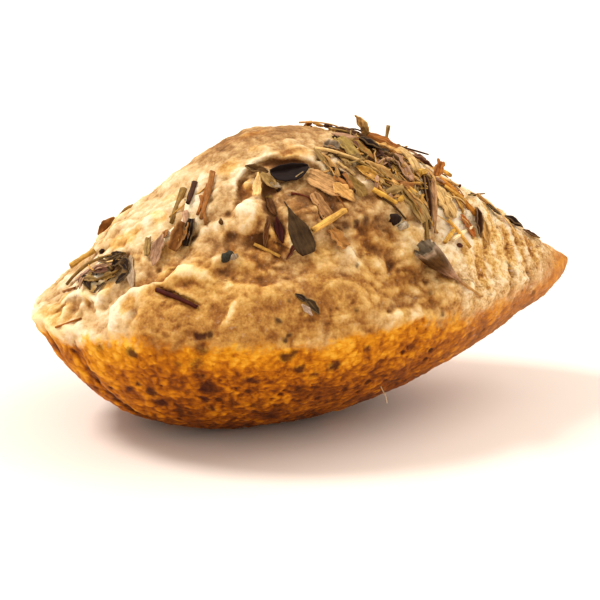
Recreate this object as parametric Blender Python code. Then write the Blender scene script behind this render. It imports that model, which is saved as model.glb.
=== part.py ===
"""A small savoury madeleine, lying on its fluted shell with the baked hump up.

The hinge end of the shell, where the flutes meet, is at +X, and the round fan end is at -X.
The cake is one closed solid: a grid of faces for the hump and one for the shell, welded along
the rim, then swollen by the lobes of the batter and grooved by the flutes of the mould. Sizes
are in millimetres until the last step.
"""

import math

import bmesh
import bpy
from mathutils import Matrix, Vector, noise

MM = 0.001

# The rim, seen from above.
LENGTH = 48.0
WIDTH = 30.0
FAN_ROUNDING = 0.6  # how the outline closes at each end: 0.5 is an ellipse, 1 a straight point
HINGE_ROUNDING = 0.92

# The hump over the rim: the height of its ridge, then how it falls to the two ends and the sides.
HUMP_HEIGHT = 13.6
HUMP_TOP_X = -2.6
HUMP_FAN_FALL = (1.6, 1.15)
HUMP_HINGE_FALL = (2.2, 1.45)
HUMP_SIDE_FALL = (2.2, 1.15)

# The moulded shell under the rim, in the same way.
SHELL_DEPTH = 11.1
SHELL_DEEPEST_X = -3.9
SHELL_FAN_FALL = (3.3, 0.78)
SHELL_HINGE_FALL = (1.6, 0.75)
SHELL_SIDE_FALL = (2.4, 0.75)

# Grooves between the flutes. They fan out from the hinge and leave a broad plain side each way.
GROOVES = 4
GROOVE_DEPTH = 0.55
GROOVE_SPREAD = 11.2  # from the first groove to the last, at the fan end
GROOVE_CURVE = 0.75
GROOVE_SHARE = 0.6  # the share of a flute that is groove and not crown

# Lobes where the batter rose and folded: x, y, half length, half width, turn in degrees, height.
LOBES = (
    (-4.5, 1.5, 8.5, 5.5, 4, 0.45),  # the crown
    (-15.3, -10.2, 5.2, 2.6, -36, 0.8),  # front tongues over the rim
    (-7.2, -13.4, 5.4, 2.4, -6, 0.7),
    (0.4, -13.0, 5.6, 2.5, 4, 0.5),
    (9.3, -10.4, 5.0, 2.2, 30, 0.35),
    (-10.8, -9.6, 4.0, 1.7, -24, 0.5),  # folds under the crown
    (-6.4, -8.0, 2.4, 2.2, 0, 0.55),
    (-2.6, -8.6, 2.2, 2.0, 0, 0.45),
    (2.6, -8.4, 2.8, 2.0, 10, 0.4),
    (6.6, -7.0, 2.6, 1.8, 30, 0.4),
    (-16.4, 1.2, 1.9, 1.7, 0, 0.5),  # bumps down the fan end
    (-13.8, -1.6, 2.0, 1.6, 30, 0.45),
    (-11.2, 1.2, 2.2, 1.8, 0, 0.35),
    (-15.2, -5.0, 2.2, 1.6, 40, 0.4),
    (-19.6, -2.4, 2.2, 1.8, 60, 0.4),
    (14.0, -2.6, 2.6, 1.6, 20, 0.35),  # and the hinge end
    (7.6, 2.0, 3.4, 2.2, 0, 0.35),
    (16.4, 1.4, 2.4, 1.5, -20, 0.25),
    (-13.6, 9.6, 5.0, 2.6, 38, 0.7),  # the far side
    (-4.6, 12.6, 4.8, 2.4, 6, 0.6),
    (5.2, 11.4, 5.2, 2.4, -14, 0.6),
    (-8.2, 8.0, 2.8, 2.2, 20, 0.45),
    (0.6, 8.2, 2.6, 2.2, 0, 0.45),
    (7.8, 6.2, 2.8, 1.8, -20, 0.4),
)
LOBE_EDGE = 3.0  # 2 is a soft swelling, more is a flatter pad with a steeper edge
UNEVEN_HEIGHT = 0.3
UNEVEN_PITCH = 5.0

# How the cake lies.
PITCH = math.radians(1.8)  # the hinge end is this much up
FOOT_FLAT = 0.4  # how far the belly has settled

GRID = 48

CRUST_COLOUR = (0.52, 0.22, 0.045, 1.0)
CRUST_ROUGHNESS = 0.6


def fall(share, shape):
    """1 in the middle and 0 at the edge; shape says how late the fall starts and how it ends."""
    start, end = shape
    return max(1 - abs(share) ** start, 0) ** end


def ramp(value, low, high):
    """Rises smoothly from 0 at low to 1 at high."""
    share = max(0, min(1, (value - low) / (high - low)))
    return share * share * (3 - 2 * share)


def half_width(x):
    """Half the width of the rim at x."""
    along = 2 * x / LENGTH
    widest = (FAN_ROUNDING - HINGE_ROUNDING) / (FAN_ROUNDING + HINGE_ROUNDING)

    def outline(t):
        return max(1 + t, 0) ** FAN_ROUNDING * max(1 - t, 0) ** HINGE_ROUNDING

    return WIDTH / 2 * outline(along) / outline(widest)


def ridge(x, middle, fan_fall, hinge_fall):
    """The share of the full height that is left at x, over the middle line."""
    if x < middle:
        return fall((middle - x) / (middle + LENGTH / 2), fan_fall)
    return fall((x - middle) / (LENGTH / 2 - middle), hinge_fall)


def hump(x, across):
    height = ridge(x, HUMP_TOP_X, HUMP_FAN_FALL, HUMP_HINGE_FALL)
    return HUMP_HEIGHT * height * fall(across, HUMP_SIDE_FALL)


def shell(x, across):
    depth = ridge(x, SHELL_DEEPEST_X, SHELL_FAN_FALL, SHELL_HINGE_FALL)
    return -SHELL_DEPTH * depth * fall(across, SHELL_SIDE_FALL)


def swelling(x, y):
    """How far the lobes and the general unevenness lift the hump at x, y."""
    lift = UNEVEN_HEIGHT * noise.noise(Vector((x, y, 0)) / UNEVEN_PITCH)
    for lobe_x, lobe_y, half_length, half_across, turn, height in LOBES:
        cosine, sine = math.cos(math.radians(turn)), math.sin(math.radians(turn))
        dx, dy = x - lobe_x, y - lobe_y
        along = (dx * cosine + dy * sine) / half_length
        across = (dy * cosine - dx * sine) / half_across
        lift += height * fall(math.hypot(along, across), (LOBE_EDGE, 2))
    return lift


def groove(x, y):
    """How deep the mould's ribs cut the shell at x, y."""
    from_hinge = 0.5 - x / LENGTH
    flute = GROOVE_SPREAD / (GROOVES - 1) * max(from_hinge, 0.001) ** GROOVE_CURVE
    place = y / flute + (GROOVES - 1) / 2
    nearest = max(0, min(GROOVES - 1, round(place)))
    share = abs(place - nearest) * 2 / GROOVE_SHARE
    return GROOVE_DEPTH * ramp(from_hinge, 0.08, 0.45) * max(1 - share, 0) ** 1.5


def add_half(bm, height):
    """Bends a square grid into the plan of the rim and gives it the height of one half."""
    grid = bmesh.ops.create_grid(bm, x_segments=GRID, y_segments=GRID, size=1)
    for vert in grid["verts"]:
        u, v = vert.co.xy
        along = u * math.sqrt(1 - v * v / 2)
        across = v * math.sqrt(1 - u * u / 2)
        reach = math.sqrt(max(1 - along * along, 1e-9))
        across = max(-1, min(1, across / reach))
        x = LENGTH / 2 * along
        vert.co = x, half_width(x) * across, height(x, across)
    return grid["verts"]


def add_relief(bm):
    """Moves the surface along its own normals: out at the lobes, in at the grooves."""
    bm.normal_update()
    moved = []
    for vert in bm.verts:
        x, y, z = vert.co
        lift = swelling(x, y) * ramp(z, 0, 1.5) - groove(x, y) * ramp(-z, -0.5, 0)
        moved.append(vert.co + vert.normal * lift)
    for vert, place in zip(bm.verts, moved):
        vert.co = place


def lay_down(bm):
    """Pitches the cake, centres it over the origin and settles its belly on the height 0."""
    bm.transform(Matrix.Rotation(-PITCH, 4, "Y"))
    x, y, z = zip(*(vert.co for vert in bm.verts))
    middle = Vector(((min(x) + max(x)) / 2, (min(y) + max(y)) / 2, min(z) + FOOT_FLAT))
    for vert in bm.verts:
        vert.co -= middle
        vert.co.z = max(vert.co.z, 0)


def cake_mesh():
    bm = bmesh.new()
    add_half(bm, hump)
    shell_verts = add_half(bm, shell)
    shell_faces = {face for vert in shell_verts for face in vert.link_faces}
    bmesh.ops.reverse_faces(bm, faces=list(shell_faces))
    bmesh.ops.remove_doubles(bm, verts=bm.verts, dist=0.01)
    add_relief(bm)
    lay_down(bm)
    bm.transform(Matrix.Scale(MM, 4))
    mesh = bpy.data.meshes.new("cake")
    bm.to_mesh(mesh)
    bm.free()
    mesh.shade_smooth()
    return mesh


def crust_material():
    material = bpy.data.materials.new("baked_crust")
    material.use_nodes = True
    shader = material.node_tree.nodes["Principled BSDF"]
    shader.inputs["Base Color"].default_value = CRUST_COLOUR
    shader.inputs["Roughness"].default_value = CRUST_ROUGHNESS
    shader.inputs["Metallic"].default_value = 0.0
    return material


def main():
    for obj in list(bpy.data.objects):
        bpy.data.objects.remove(obj)
    mesh = cake_mesh()
    mesh.materials.append(crust_material())
    cake = bpy.data.objects.new("cake", mesh)
    bpy.context.scene.collection.objects.link(cake)


main()
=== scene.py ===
"""The looks of the small savoury madeleine: its crumb and crust, and the dried herbs on it.

The hinge end of the cake is at +X, the fan end at -X, and the camera looks at its -Y side.
Sizes in this script are in millimetres until a mesh is made.
"""

import math
import random
from collections import namedtuple

import bmesh
import bpy
import numpy as np
from mathutils import Matrix, Vector, noise
from mathutils.bvhtree import BVHTree


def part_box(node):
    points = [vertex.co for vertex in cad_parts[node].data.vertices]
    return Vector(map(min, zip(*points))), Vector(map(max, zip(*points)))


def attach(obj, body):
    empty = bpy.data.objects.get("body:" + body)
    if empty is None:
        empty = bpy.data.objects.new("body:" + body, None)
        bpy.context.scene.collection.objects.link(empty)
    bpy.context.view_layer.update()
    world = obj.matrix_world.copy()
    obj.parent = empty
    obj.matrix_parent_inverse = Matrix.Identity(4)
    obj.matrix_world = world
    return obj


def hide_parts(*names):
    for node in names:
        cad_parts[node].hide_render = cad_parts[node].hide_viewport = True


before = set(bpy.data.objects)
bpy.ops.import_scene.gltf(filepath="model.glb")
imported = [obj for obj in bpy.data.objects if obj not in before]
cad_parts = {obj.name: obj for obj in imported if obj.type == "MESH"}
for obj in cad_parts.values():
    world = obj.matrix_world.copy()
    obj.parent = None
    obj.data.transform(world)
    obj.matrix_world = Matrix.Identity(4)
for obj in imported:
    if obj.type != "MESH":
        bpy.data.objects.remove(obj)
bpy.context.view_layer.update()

MM = 0.001
LOW, HIGH = (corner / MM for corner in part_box("cake"))
LENGTH = HIGH.x - LOW.x

# The rim of the mould is a plane that rises a little towards the hinge end.
RIM_MIDDLE = 10.9
RIM_SLOPE = math.tan(math.radians(1.8))

# ---------------------------------------------------------------- small tools


def linear(code):
    """A colour written as six hexadecimal digits, as Blender wants it."""
    parts = [int(code[i : i + 2], 16) / 255 for i in (0, 2, 4)]
    return [p / 12.92 if p <= 0.04045 else ((p + 0.055) / 1.055) ** 2.4 for p in parts] + [1.0]


def ramp(value, low, high):
    """Rises smoothly from 0 at low to 1 at high; low may be the larger one."""
    share = np.clip((value - low) / (high - low), 0, 1)
    return share * share * (3 - 2 * share)


def unit(vectors):
    return vectors / np.maximum(np.linalg.norm(vectors, axis=-1, keepdims=True), 1e-12)


def bumps(points, pitch, seed=0):
    """Smooth noise from -1 to 1 at each point."""
    shift = Vector((seed * 7.1, seed * -3.7, seed * 5.3))
    return np.array([noise.noise(Vector(p) / pitch + shift) for p in points])


def cells(points, pitch, seed=0):
    """At each point, the distances to the nearest two of some scattered seeds, and a number for the nearest."""
    shift = Vector((seed * 4.9, seed * 6.1, seed * -2.9))
    rows = []
    for p in points:
        distances, seeds = noise.voronoi(Vector(p) / pitch + shift)
        rows.append((distances[0], distances[1], noise.cell(seeds[0] * 9.7)))
    return np.array(rows).T


def warped(points, pitch, reach, seed=0):
    """The points, pushed about by noise, so that what is worked out from them looks less regular."""
    shift = Vector((seed * 2.3, seed * -8.1, seed * 3.1))
    return points + reach * np.array([noise.noise_vector(Vector(p) / pitch + shift) for p in points])


# ---------------------------------------------------------------- the skin of the cake

QUAD_ANGLE = math.radians(60)
SUBDIVISIONS = 3
SKIN_TRIANGLES = 190000

# Where the batter folded over itself on the hump: points along the fold, then how far its lip stands up and how
# deep the crease before it is. The lip is to the left of the way that the points run, or to the right below 0.
FOLDS = (
    (((-14.4, -8.8), (-15.8, -7.8), (-17.4, -7.0), (-18.6, -7.1), (-19.9, -8.9)), 0.65, 0.75),
    (((-12.0, -11.5), (-14.0, -9.9), (-15.4, -8.6), (-16.3, -7.2)), -0.2, -0.45),
    (((-15.4, -6.8), (-13.0, -8.6), (-11.0, -10.5), (-9.1, -11.4), (-7.0, -11.9), (-3.6, -12.0)), -0.35, -0.25),
    (((-11.6, -13.3), (-10.4, -12.9), (-9.2, -12.2)), -0.25, -0.15),
    (((-8.2, -6.8), (-7.4, -4.8), (-5.6, -3.9), (-2.4, -4.3), (-0.6, -5.2), (0.4, -6.2)), 0.4, 0.6),
    (((-9.4, -8.0), (-7.7, -9.0), (-6.2, -9.7), (-4.4, -10.5), (-2.4, -10.7)), 0.25, 0.3),
    (((-2.6, -11.2), (-0.6, -10.6), (2.2, -10.4), (4.8, -11.0)), -0.25, -0.25),
    (((1.6, -12.6), (-0.7, -12.2), (-3.2, -12.8)), 0.2, 0.2),
    (((16.5, -6.9), (12.6, -9.0), (9.4, -10.2), (7.0, -11.4)), 0.2, 0.2),
    (((-9.4, -0.8), (-10.6, -3.0), (-12.4, -4.8), (-15.2, -4.8)), 0.35, 0.45),
    (((-22.4, -2.0), (-20.8, -3.2), (-19.9, -5.0), (-20.0, -7.0)), 0.3, 0.35),
    (((-12.0, 9.0), (-9.5, 10.8), (-6.0, 11.6), (-2.0, 11.4)), -0.45, -0.5),
    (((2.0, 10.6), (5.6, 9.8), (9.4, 8.2)), -0.4, -0.4),
    (((-8.0, 4.4), (-3.4, 5.6), (1.4, 5.4), (4.6, 4.2)), 0.4, 0.4),
    (((-18.0, 4.0), (-15.0, 6.6), (-12.2, 7.4)), -0.4, -0.4),
)
LIP_REACH = 1.3
CREASE_REACH = 0.8
LIP_OVERHANG = 0.18

# Small knobs of batter: place, half length, half width, turn in degrees, height.
KNOBS = (
    (-13.4, -8.9, 1.6, 1.0, 20, 0.55),
    (-6.0, -5.9, 0.5, 1.2, 0, 0.45),
    (-7.8, -7.6, 1.6, 1.3, 0, 0.45),
    (-9.8, -7.6, 1.2, 1.0, 0, 0.4),
    (-6.9, -5.2, 0.8, 0.7, 0, 0.35),
    (-2.3, -8.6, 1.5, 1.0, 20, 0.12),
    (-20.3, -3.6, 1.1, 0.9, 40, 0.4),
    (-19.0, -5.4, 0.9, 0.7, 0, 0.35),
    (-21.6, -2.6, 1.0, 0.7, 60, 0.3),
    (1.6, -9.6, 1.4, 1.0, 30, 0.3),
    (5.6, -9.4, 1.3, 0.9, 10, 0.3),
    (-10.4, 8.6, 1.6, 1.1, 30, 0.45),
    (-3.6, 9.4, 1.4, 1.0, 0, 0.4),
    (3.4, 8.0, 1.5, 1.1, -10, 0.4),
    (-16.2, 6.8, 1.3, 0.9, 40, 0.4),
)

# Small pits: place, half length, half width, turn in degrees, depth.
PITS = (
    (-14.0, -9.4, 1.3, 0.5, -30, 0.3),
    (-17.6, -9.2, 0.5, 0.4, 60, 0.4),
    (-12.4, -6.2, 0.9, 0.6, -30, 0.5),
    (-13.9, -8.2, 0.6, 0.5, 0, 0.3),
    (-5.2, -9.2, 0.6, 1.0, 20, 0.6),
    (-7.0, -9.4, 1.0, 0.6, -20, 0.35),
    (-5.2, -6.4, 0.8, 0.9, 0, 0.5),
    (-5.6, -7.8, 0.5, 1.0, 0, 0.4),
    (-10.3, -10.4, 1.2, 0.6, -20, 0.25),
    (-1.3, -8.7, 0.45, 0.45, 0, 0.6),
    (1.4, -6.8, 0.8, 0.6, 0, 0.4),
    (2.2, -9.3, 0.9, 0.6, 0, 0.25),
    (4.1, -10.4, 0.6, 0.35, 60, 0.25),
    (8.9, -9.2, 0.6, 0.4, 30, 0.3),
    (16.5, -6.0, 0.35, 0.3, 0, 0.35),
    (18.6, -4.9, 0.5, 0.4, 0, 0.4),
    (16.2, -6.8, 0.5, 0.35, 20, 0.4),
    (13.0, -5.2, 0.6, 0.5, 0, 0.35),
    (-19.4, -6.0, 0.8, 0.5, 30, 0.35),
    (-21.0, -3.8, 0.6, 0.4, 0, 0.3),
    (-6.8, 8.2, 0.9, 0.6, 20, 0.5),
    (1.2, 9.6, 1.0, 0.5, -20, 0.5),
    (-13.0, 5.4, 0.7, 0.6, 0, 0.4),
    (9.6, 6.4, 0.8, 0.5, 0, 0.4),
)

# Where the crumb is lighter or darker, and paler or more golden: middle, half length, half width, turn in degrees,
# how much lighter, how much more golden.
PAINT = (
    (-5.0, 0.5, 9.0, 5.5, 0, -0.15, 0.0),
    (-4.6, 0.5, 1.4, 0.8, 0, 0.2, 0.6),
    (-4.9, -2.1, 0.9, 0.6, 0, 0.3, 0.7),
    (-7.6, -3.0, 1.2, 0.9, -30, 0.1, 0.7),
    (-6.9, -5.6, 0.7, 0.9, 0, -0.4, 1.2),
    (-12.3, -1.3, 1.2, 0.7, -60, 0.2, 0.8),
    (-13.8, -2.3, 1.1, 0.7, -60, 0.2, 0.9),
    (-16.6, -1.2, 1.6, 0.9, -30, 0.1, 0.9),
    (-10.4, 1.4, 2.2, 1.4, 0, 0.1, 0.3),
    (-12.6, -1.5, 4.4, 4.4, 0, 0.3, -0.35),
    (-21.0, -3.6, 3.6, 4.6, 0, 0.45, -0.6),
    (-22.7, -2.6, 1.9, 2.6, 0, -0.2, 1.2),
    (-20.6, -5.6, 1.6, 1.4, 0, -0.05, 0.6),
    (-20.0, -3.9, 0.5, 1.0, -20, -0.2, 1.3),
    (-18.8, -4.9, 0.5, 0.8, 0, -0.2, 1.3),
    (-17.8, -8.2, 0.7, 0.6, 0, -0.3, 1.1),
    # The next two narrow rows paint highlights along the lit lips of two folds.
    (-10.1, -12.8, 0.9, 0.35, 28, 0.6, -0.5),
    (-18.4, -8.2, 1.8, 0.4, -60, 0.5, -0.4),
    (-4.0, 1.6, 7.0, 4.2, 0, -0.45, 0.1),
    (-0.4, -7.6, 2.2, 1.2, 0, -0.45, 0.2),
    (-2.6, -4.0, 3.0, 0.9, 0, -0.6, 0.4),
    (-2.5, -8.4, 1.7, 1.1, 20, -0.6, 0.3),
    (11.2, -5.0, 2.6, 2.4, 0, 0.5, -0.3),
    (-7.2, -9.4, 3.2, 1.9, -20, -0.35, 0.3),
    (-14.0, -10.6, 4.4, 2.2, -36, -0.15, 0.3),
    (-15.6, -11.6, 2.6, 1.4, -40, -0.2, 0.4),
    # This row paints shade into the crease under the fold above it.
    (-14.2, -9.6, 1.6, 0.6, -30, -0.4, 0.3),
    (-6.0, -13.2, 6.5, 1.8, 0, -0.35, 0.1),
    (4.0, -12.4, 6.5, 2.2, 14, -0.15, -0.15),
    (2.4, -8.4, 2.6, 1.8, 0, -0.5, 0.4),
    (-2.4, -7.4, 4.0, 2.6, 0, -0.4, 0.15),
    (-5.4, -7.6, 1.0, 2.0, 0, -0.5, 0.0),
    (-9.0, -6.4, 2.2, 2.2, 0, -0.2, 0.0),
    (14.6, -4.6, 5.4, 5.6, 0, 0.35, -0.05),
    (20.4, -2.0, 3.6, 5.0, 0, -0.05, -0.1),
    (9.8, -6.6, 3.0, 2.8, 0, 0.3, -0.2),
    (15.7, -4.5, 0.45, 1.0, 10, -0.15, 1.3),
    (17.0, -4.2, 0.45, 1.0, 10, -0.15, 1.2),
    (18.1, -3.0, 0.45, 1.1, 10, -0.15, 1.3),
    (19.3, -2.9, 0.45, 1.1, 10, -0.2, 1.3),
    (13.3, -7.4, 0.5, 1.1, 20, -0.2, 1.3),
    (11.9, -7.4, 0.5, 0.9, 20, -0.2, 1.3),
    (14.6, -6.0, 0.5, 1.0, 20, -0.1, 1.0),
    (12.9, -5.9, 0.7, 1.0, 20, -0.5, 0.9),
)

# Where the top is smoother: middle, half length, half width, turn in degrees.
SMOOTH_PATCHES = (
    (-5.0, 1.0, 8.5, 4.6, 4),
    (-15.4, -10.4, 4.2, 1.9, -36),
    (-7.4, -13.2, 4.6, 1.3, -6),
    (-1.8, -12.4, 3.0, 1.2, 0),
    (-1.6, -6.8, 1.8, 1.2, 30),
    (-4.6, 12.6, 5.0, 1.6, 6),
    (-13.6, 9.6, 4.4, 1.8, 38),
)

# The grooves of the mould, as they fan out from the hinge end.
GROOVES = 4
GROOVE_SPREAD = 11.2

# Dark spots on the crust and the crumb: place, size, how dark.
MARKS = (
    (-17.9, -10.4, 9.6, 0.6, 0.9),
    (-20.1, -8.2, 9.5, 0.5, 0.5),
    (-14.6, -12.4, 9.1, 0.5, 0.5),
    (-17.3, -9.3, 6.6, 0.4, 0.8),
    (-17.9, -8.3, 5.9, 0.45, 0.7),
    (-16.3, -9.5, 5.8, 0.6, 1.0),
    (-15.4, -9.1, 4.7, 0.6, 1.0),
    (-12.1, -11.4, 5.5, 0.5, 0.9),
    (-11.4, -10.7, 4.4, 0.5, 0.8),
    (-8.9, -13.5, 7.5, 0.55, 0.8),
    (-8.3, -13.4, 7.3, 0.45, 0.7),
    (-6.1, -14.6, 9.6, 0.6, 0.8),
    (-5.5, -14.6, 10.1, 0.45, 0.8),
    (-4.8, -14.1, 8.2, 0.6, 1.0),
    (-3.3, -13.6, 7.5, 0.55, 0.55),
    (-1.6, -13.8, 8.1, 0.65, 1.0),
    (1.1, -13.8, 9.4, 0.55, 0.65),
    (-7.9, -11.5, 4.6, 0.6, 0.55),
    (-5.9, -9.5, 2.6, 0.9, 0.65),
    (-13.0, -13.5, 10.4, 0.7, 0.6),
    (-13.2, -12.9, 9.2, 0.8, 0.55),
    (-12.8, -12.6, 8.0, 0.7, 0.6),
    (-12.1, -12.2, 6.8, 0.75, 0.95),
    (5.6, -12.0, 8.4, 0.5, 0.5),
    (-13.1, -12.8, 11.5, 0.4, 1.0),
    (-12.6, -13.0, 11.6, 0.35, 1.0),
    (-12.1, -13.2, 11.7, 0.35, 1.0),
    (-6.6, -14.2, 12.7, 0.35, 0.9),
    (-5.8, -14.6, 11.5, 0.3, 0.8),
    (-6.2, -14.8, 11.1, 0.3, 0.8),
    (-5.4, -13.4, 14.0, 0.3, 0.7),
    (4.2, -10.4, 15.4, 0.35, 0.5),
    (0.9, -11.3, 15.9, 0.3, 0.7),
    (0.2, -13.8, 12.9, 0.3, 0.7),
    (8.3, -11.4, 11.0, 0.35, 0.6),
    (7.4, -11.3, 13.0, 0.4, 0.5),
    (0.5, -9.3, 18.7, 0.4, 0.7),
    (1.6, -9.1, 18.8, 0.45, 0.85),
    (-9.9, -9.8, 17.0, 0.45, 0.7),
    (-10.0, 12.4, 7.6, 0.6, 0.9),
    (-3.0, 14.0, 8.6, 0.6, 0.8),
    (6.2, 11.4, 8.0, 0.6, 0.8),
    (12.0, 7.2, 9.0, 0.5, 0.7),
    (-16.6, 8.6, 6.0, 0.6, 0.8),
    (-21.0, 3.0, 8.0, 0.5, 0.6),
    (-8.0, 9.6, 3.0, 0.7, 0.8),
    (2.0, 10.0, 4.4, 0.6, 0.6),
    (2.3, -8.7, 19.0, 0.6, 0.7),
    (19.3, -3.8, 9.6, 0.4, 0.6),
    (16.6, -5.9, 13.0, 0.3, 0.7),
    (17.4, -5.4, 10.6, 0.4, 0.5),
)

# Ridges across the hinge end.
RIDGE_PITCH = 1.35
RIDGE_HEIGHT = 0.06


def base_surface():
    """The CAD cake, welded and in four-sided faces, then subdivided: its mesh in millimetres."""
    bm = bmesh.new()
    bm.from_mesh(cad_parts["cake"].data)
    bmesh.ops.remove_doubles(bm, verts=bm.verts, dist=1e-6)
    bmesh.ops.join_triangles(
        bm, faces=bm.faces, angle_face_threshold=QUAD_ANGLE, angle_shape_threshold=QUAD_ANGLE
    )
    bm.transform(Matrix.Scale(1 / MM, 4))
    mesh = bpy.data.meshes.new("cake_base")
    bm.to_mesh(mesh)
    bm.free()
    return with_modifier(mesh, "SUBSURF", levels=SUBDIVISIONS, render_levels=SUBDIVISIONS)


def with_modifier(mesh, kind, **settings):
    """The mesh after one modifier; the mesh that came in is removed."""
    carrier = bpy.data.objects.new("carrier", mesh)
    bpy.context.scene.collection.objects.link(carrier)
    modifier = carrier.modifiers.new(kind, kind)
    for key, value in settings.items():
        setattr(modifier, key, value)
    made = bpy.data.meshes.new_from_object(carrier.evaluated_get(bpy.context.evaluated_depsgraph_get()))
    bpy.data.objects.remove(carrier)
    bpy.data.meshes.remove(mesh)
    return made


def read(items, what, width, kind=np.float64):
    values = np.empty(len(items) * width, kind)
    items.foreach_get(what, values)
    return values.reshape(-1, width)


def from_fold(points, line):
    """For each point, seen from above: the signed distance to a line of points, the way from it, and a taper to its ends."""
    best = np.full(len(points), 1e9)
    side = np.zeros(len(points))
    away = np.zeros((len(points), 2))
    taper = np.zeros(len(points))
    line = np.array(line)
    steps = np.linalg.norm(np.diff(line, axis=0), axis=1)
    total, passed = steps.sum(), 0.0
    for start, end, step in zip(line[:-1], line[1:], steps):
        way = (end - start) / step
        offset = points - start
        along = np.clip(offset @ way, 0, step)
        apart = offset - along[:, None] * way
        distance = np.linalg.norm(apart, axis=1)
        nearer = distance < best
        best[nearer] = distance[nearer]
        side[nearer] = np.sign(way[0] * offset[nearer, 1] - way[1] * offset[nearer, 0])
        away[nearer] = apart[nearer]
        share = (passed + along[nearer]) / total
        taper[nearer] = np.clip(np.sin(math.pi * share), 0, 1) ** 0.6
        passed += step
    return best * side, unit(away), taper


def folds(points):
    """How far each fold lifts the skin and pushes it sideways over its crease, and 1 along the very lip, where a
    highlight is painted into the crumb's colour.
    """
    lift = np.zeros(len(points))
    lip_highlight_mask = np.zeros(len(points))
    push = np.zeros((len(points), 3))
    plan = warped(warped(points, 2.2, 0.5, 3), 0.8, 0.15, 4)[:, :2]
    for line, lip, crease in FOLDS:
        distance, away, taper = from_fold(plan, line)
        if lip < 0:
            distance, lip, crease = -distance, -lip, -crease
        raised = ramp(distance, -0.4, 0.35)
        reach = np.abs(distance)
        lift += taper * raised * lip * np.exp(-reach / LIP_REACH)
        lift -= taper * (1 - raised) * crease * np.exp(-reach / CREASE_REACH)
        lean = taper * raised * LIP_OVERHANG * np.exp(-reach / 0.7)
        push[:, :2] -= away * lean[:, None]
        lip_highlight_mask = np.maximum(lip_highlight_mask, taper * lip / 0.5 * raised * np.exp(-((reach / 0.45) ** 2)))
    return lift, push, lip_highlight_mask


def from_patch(points, patch):
    """How far a point is from the middle of an oval patch seen from above: 1 is its edge."""
    x, y, half_length, half_width, turn = patch
    cosine, sine = math.cos(math.radians(turn)), math.sin(math.radians(turn))
    dx, dy = points[:, 0] - x, points[:, 1] - y
    return np.hypot((dx * cosine + dy * sine) / half_length, (dy * cosine - dx * sine) / half_width)


def grains(points, pitch, seed):
    """Rounded grains: 0 in the gaps between them and up to 1 on their tops."""
    near, second, number = cells(warped(points, pitch, 0.35 * pitch, seed), pitch, seed)
    return ramp(second - near, 0, 0.45) * (0.75 + 0.25 * number)


def pores(points, pitch, share, seed):
    """1 at the middle of each of some round pores."""
    near, second, number = cells(points, pitch, seed)
    return ramp(near, 0.24, 0.06) * (number > 1 - 2 * share)


def crags(points, pitch, seed):
    """Rounded lumps with sharp creases between them, from about -0.5 to 1."""
    return np.abs(bumps(points, pitch, seed)) * 2.6 - 0.6


def ridges(points):
    """The low ridges across the hinge end, from -1 to 1, which come and go."""
    x = points[:, 0]
    wave = np.sin(2 * math.pi * (x + 0.5 * bumps(points, 2.4, 8) + 0.15 * points[:, 1]) / RIDGE_PITCH)
    return wave * ramp(x, 11.0, 14.0) * ramp(x, 22.0, 20.5) * ramp(bumps(points, 1.8, 10), -0.5, 0.2)


def crumb_relief(points):
    """The height of the baked crumb: its broad lumps, then its crags, grains and pores."""
    calm = np.zeros(len(points))
    plan = warped(points, 3.0, 0.8, 9)
    for patch in SMOOTH_PATCHES:
        calm = np.maximum(calm, ramp(from_patch(plan, patch), 1.25, 0.7))
    rough = (1 - 0.6 * calm) * (1 - 0.4 * ramp(points[:, 0], 8.0, 13.0))
    bent = warped(points, 2.0, 0.7, 1)
    lumps = 0.17 * crags(bent, 2.8, 1) * rough + 0.1 * bumps(points, 1.7, 4)
    lumps += 0.1 * crags(bent * (0.4, 0.7, 1.2), 1.0, 41) * (0.4 + 0.6 * rough)
    for x, y, half_length, half_width, turn, height in KNOBS:
        lumps += height * ramp(from_patch(plan, (x, y, half_length, half_width, turn)), 1.15, 0.35)
    close_plan = warped(points, 0.9, 0.22, 19)
    for x, y, half_length, half_width, turn, depth in PITS:
        lumps -= depth * ramp(from_patch(close_plan, (x, y, half_length, half_width, turn)), 1.45, 0.1)
    lumps += RIDGE_HEIGHT * ridges(points)
    fine = 0.07 * crags(warped(points, 1.0, 0.3, 5), 1.15, 2) + 0.04 * (grains(points, 0.75, 3) - 0.5)
    fine = fine * rough + 0.045 * bumps(points, 0.55, 6) + 0.03 * bumps(points, 0.27, 7)
    fine -= 0.18 * pores(points, 1.7, 0.3, 7) * rough
    return lumps, fine


def crust_relief(points):
    """The low relief of the moulded crust: blisters, lace and open pores."""
    broad = 0.09 * bumps(points, 2.6, 13) + 0.06 * bumps(points, 1.2, 15)
    fine = 0.06 * (grains(points, 0.8, 11) - 0.5) + 0.05 * bumps(points, 0.5, 14) + 0.03 * bumps(points, 0.25, 17)
    return broad, fine - 0.16 * pores(points, 1.5, 0.4, 12) - 0.1 * pores(points, 0.7, 0.3, 16)


def tip_droop(points, over_rim):
    """How far the underside near the hinge tip hangs below the plain shell, so that the tip is blunt."""
    x = points[:, 0]
    return 0.75 * ramp(x, 17.5, 21.5) * ramp(over_rim, 1.0, -0.5) * ramp(x, 25.2, 23.0)


def crust_share(points, over_rim):
    """1 on the moulded crust and 0 on the crumb, with an uneven edge near the rim."""
    x = points[:, 0]
    edge = -0.3 + 0.7 * bumps(points, 3.1, 21) + 0.6 * bumps(points, 1.1, 22) + 0.4 * bumps(points, 0.5, 23)
    edge = edge + 0.6 * ramp(x, -6, -12) - 1.3 * ramp(x, -19.5, -22.0)
    edge = edge + 1.8 * ramp(x, 18.0, 22.5) - 0.9 * ramp(x, 4, 12)
    reach = 1 + 0.7 * ramp(x, 6, 12)
    return ramp((over_rim - edge) / reach, 1.1, -0.9)


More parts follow.
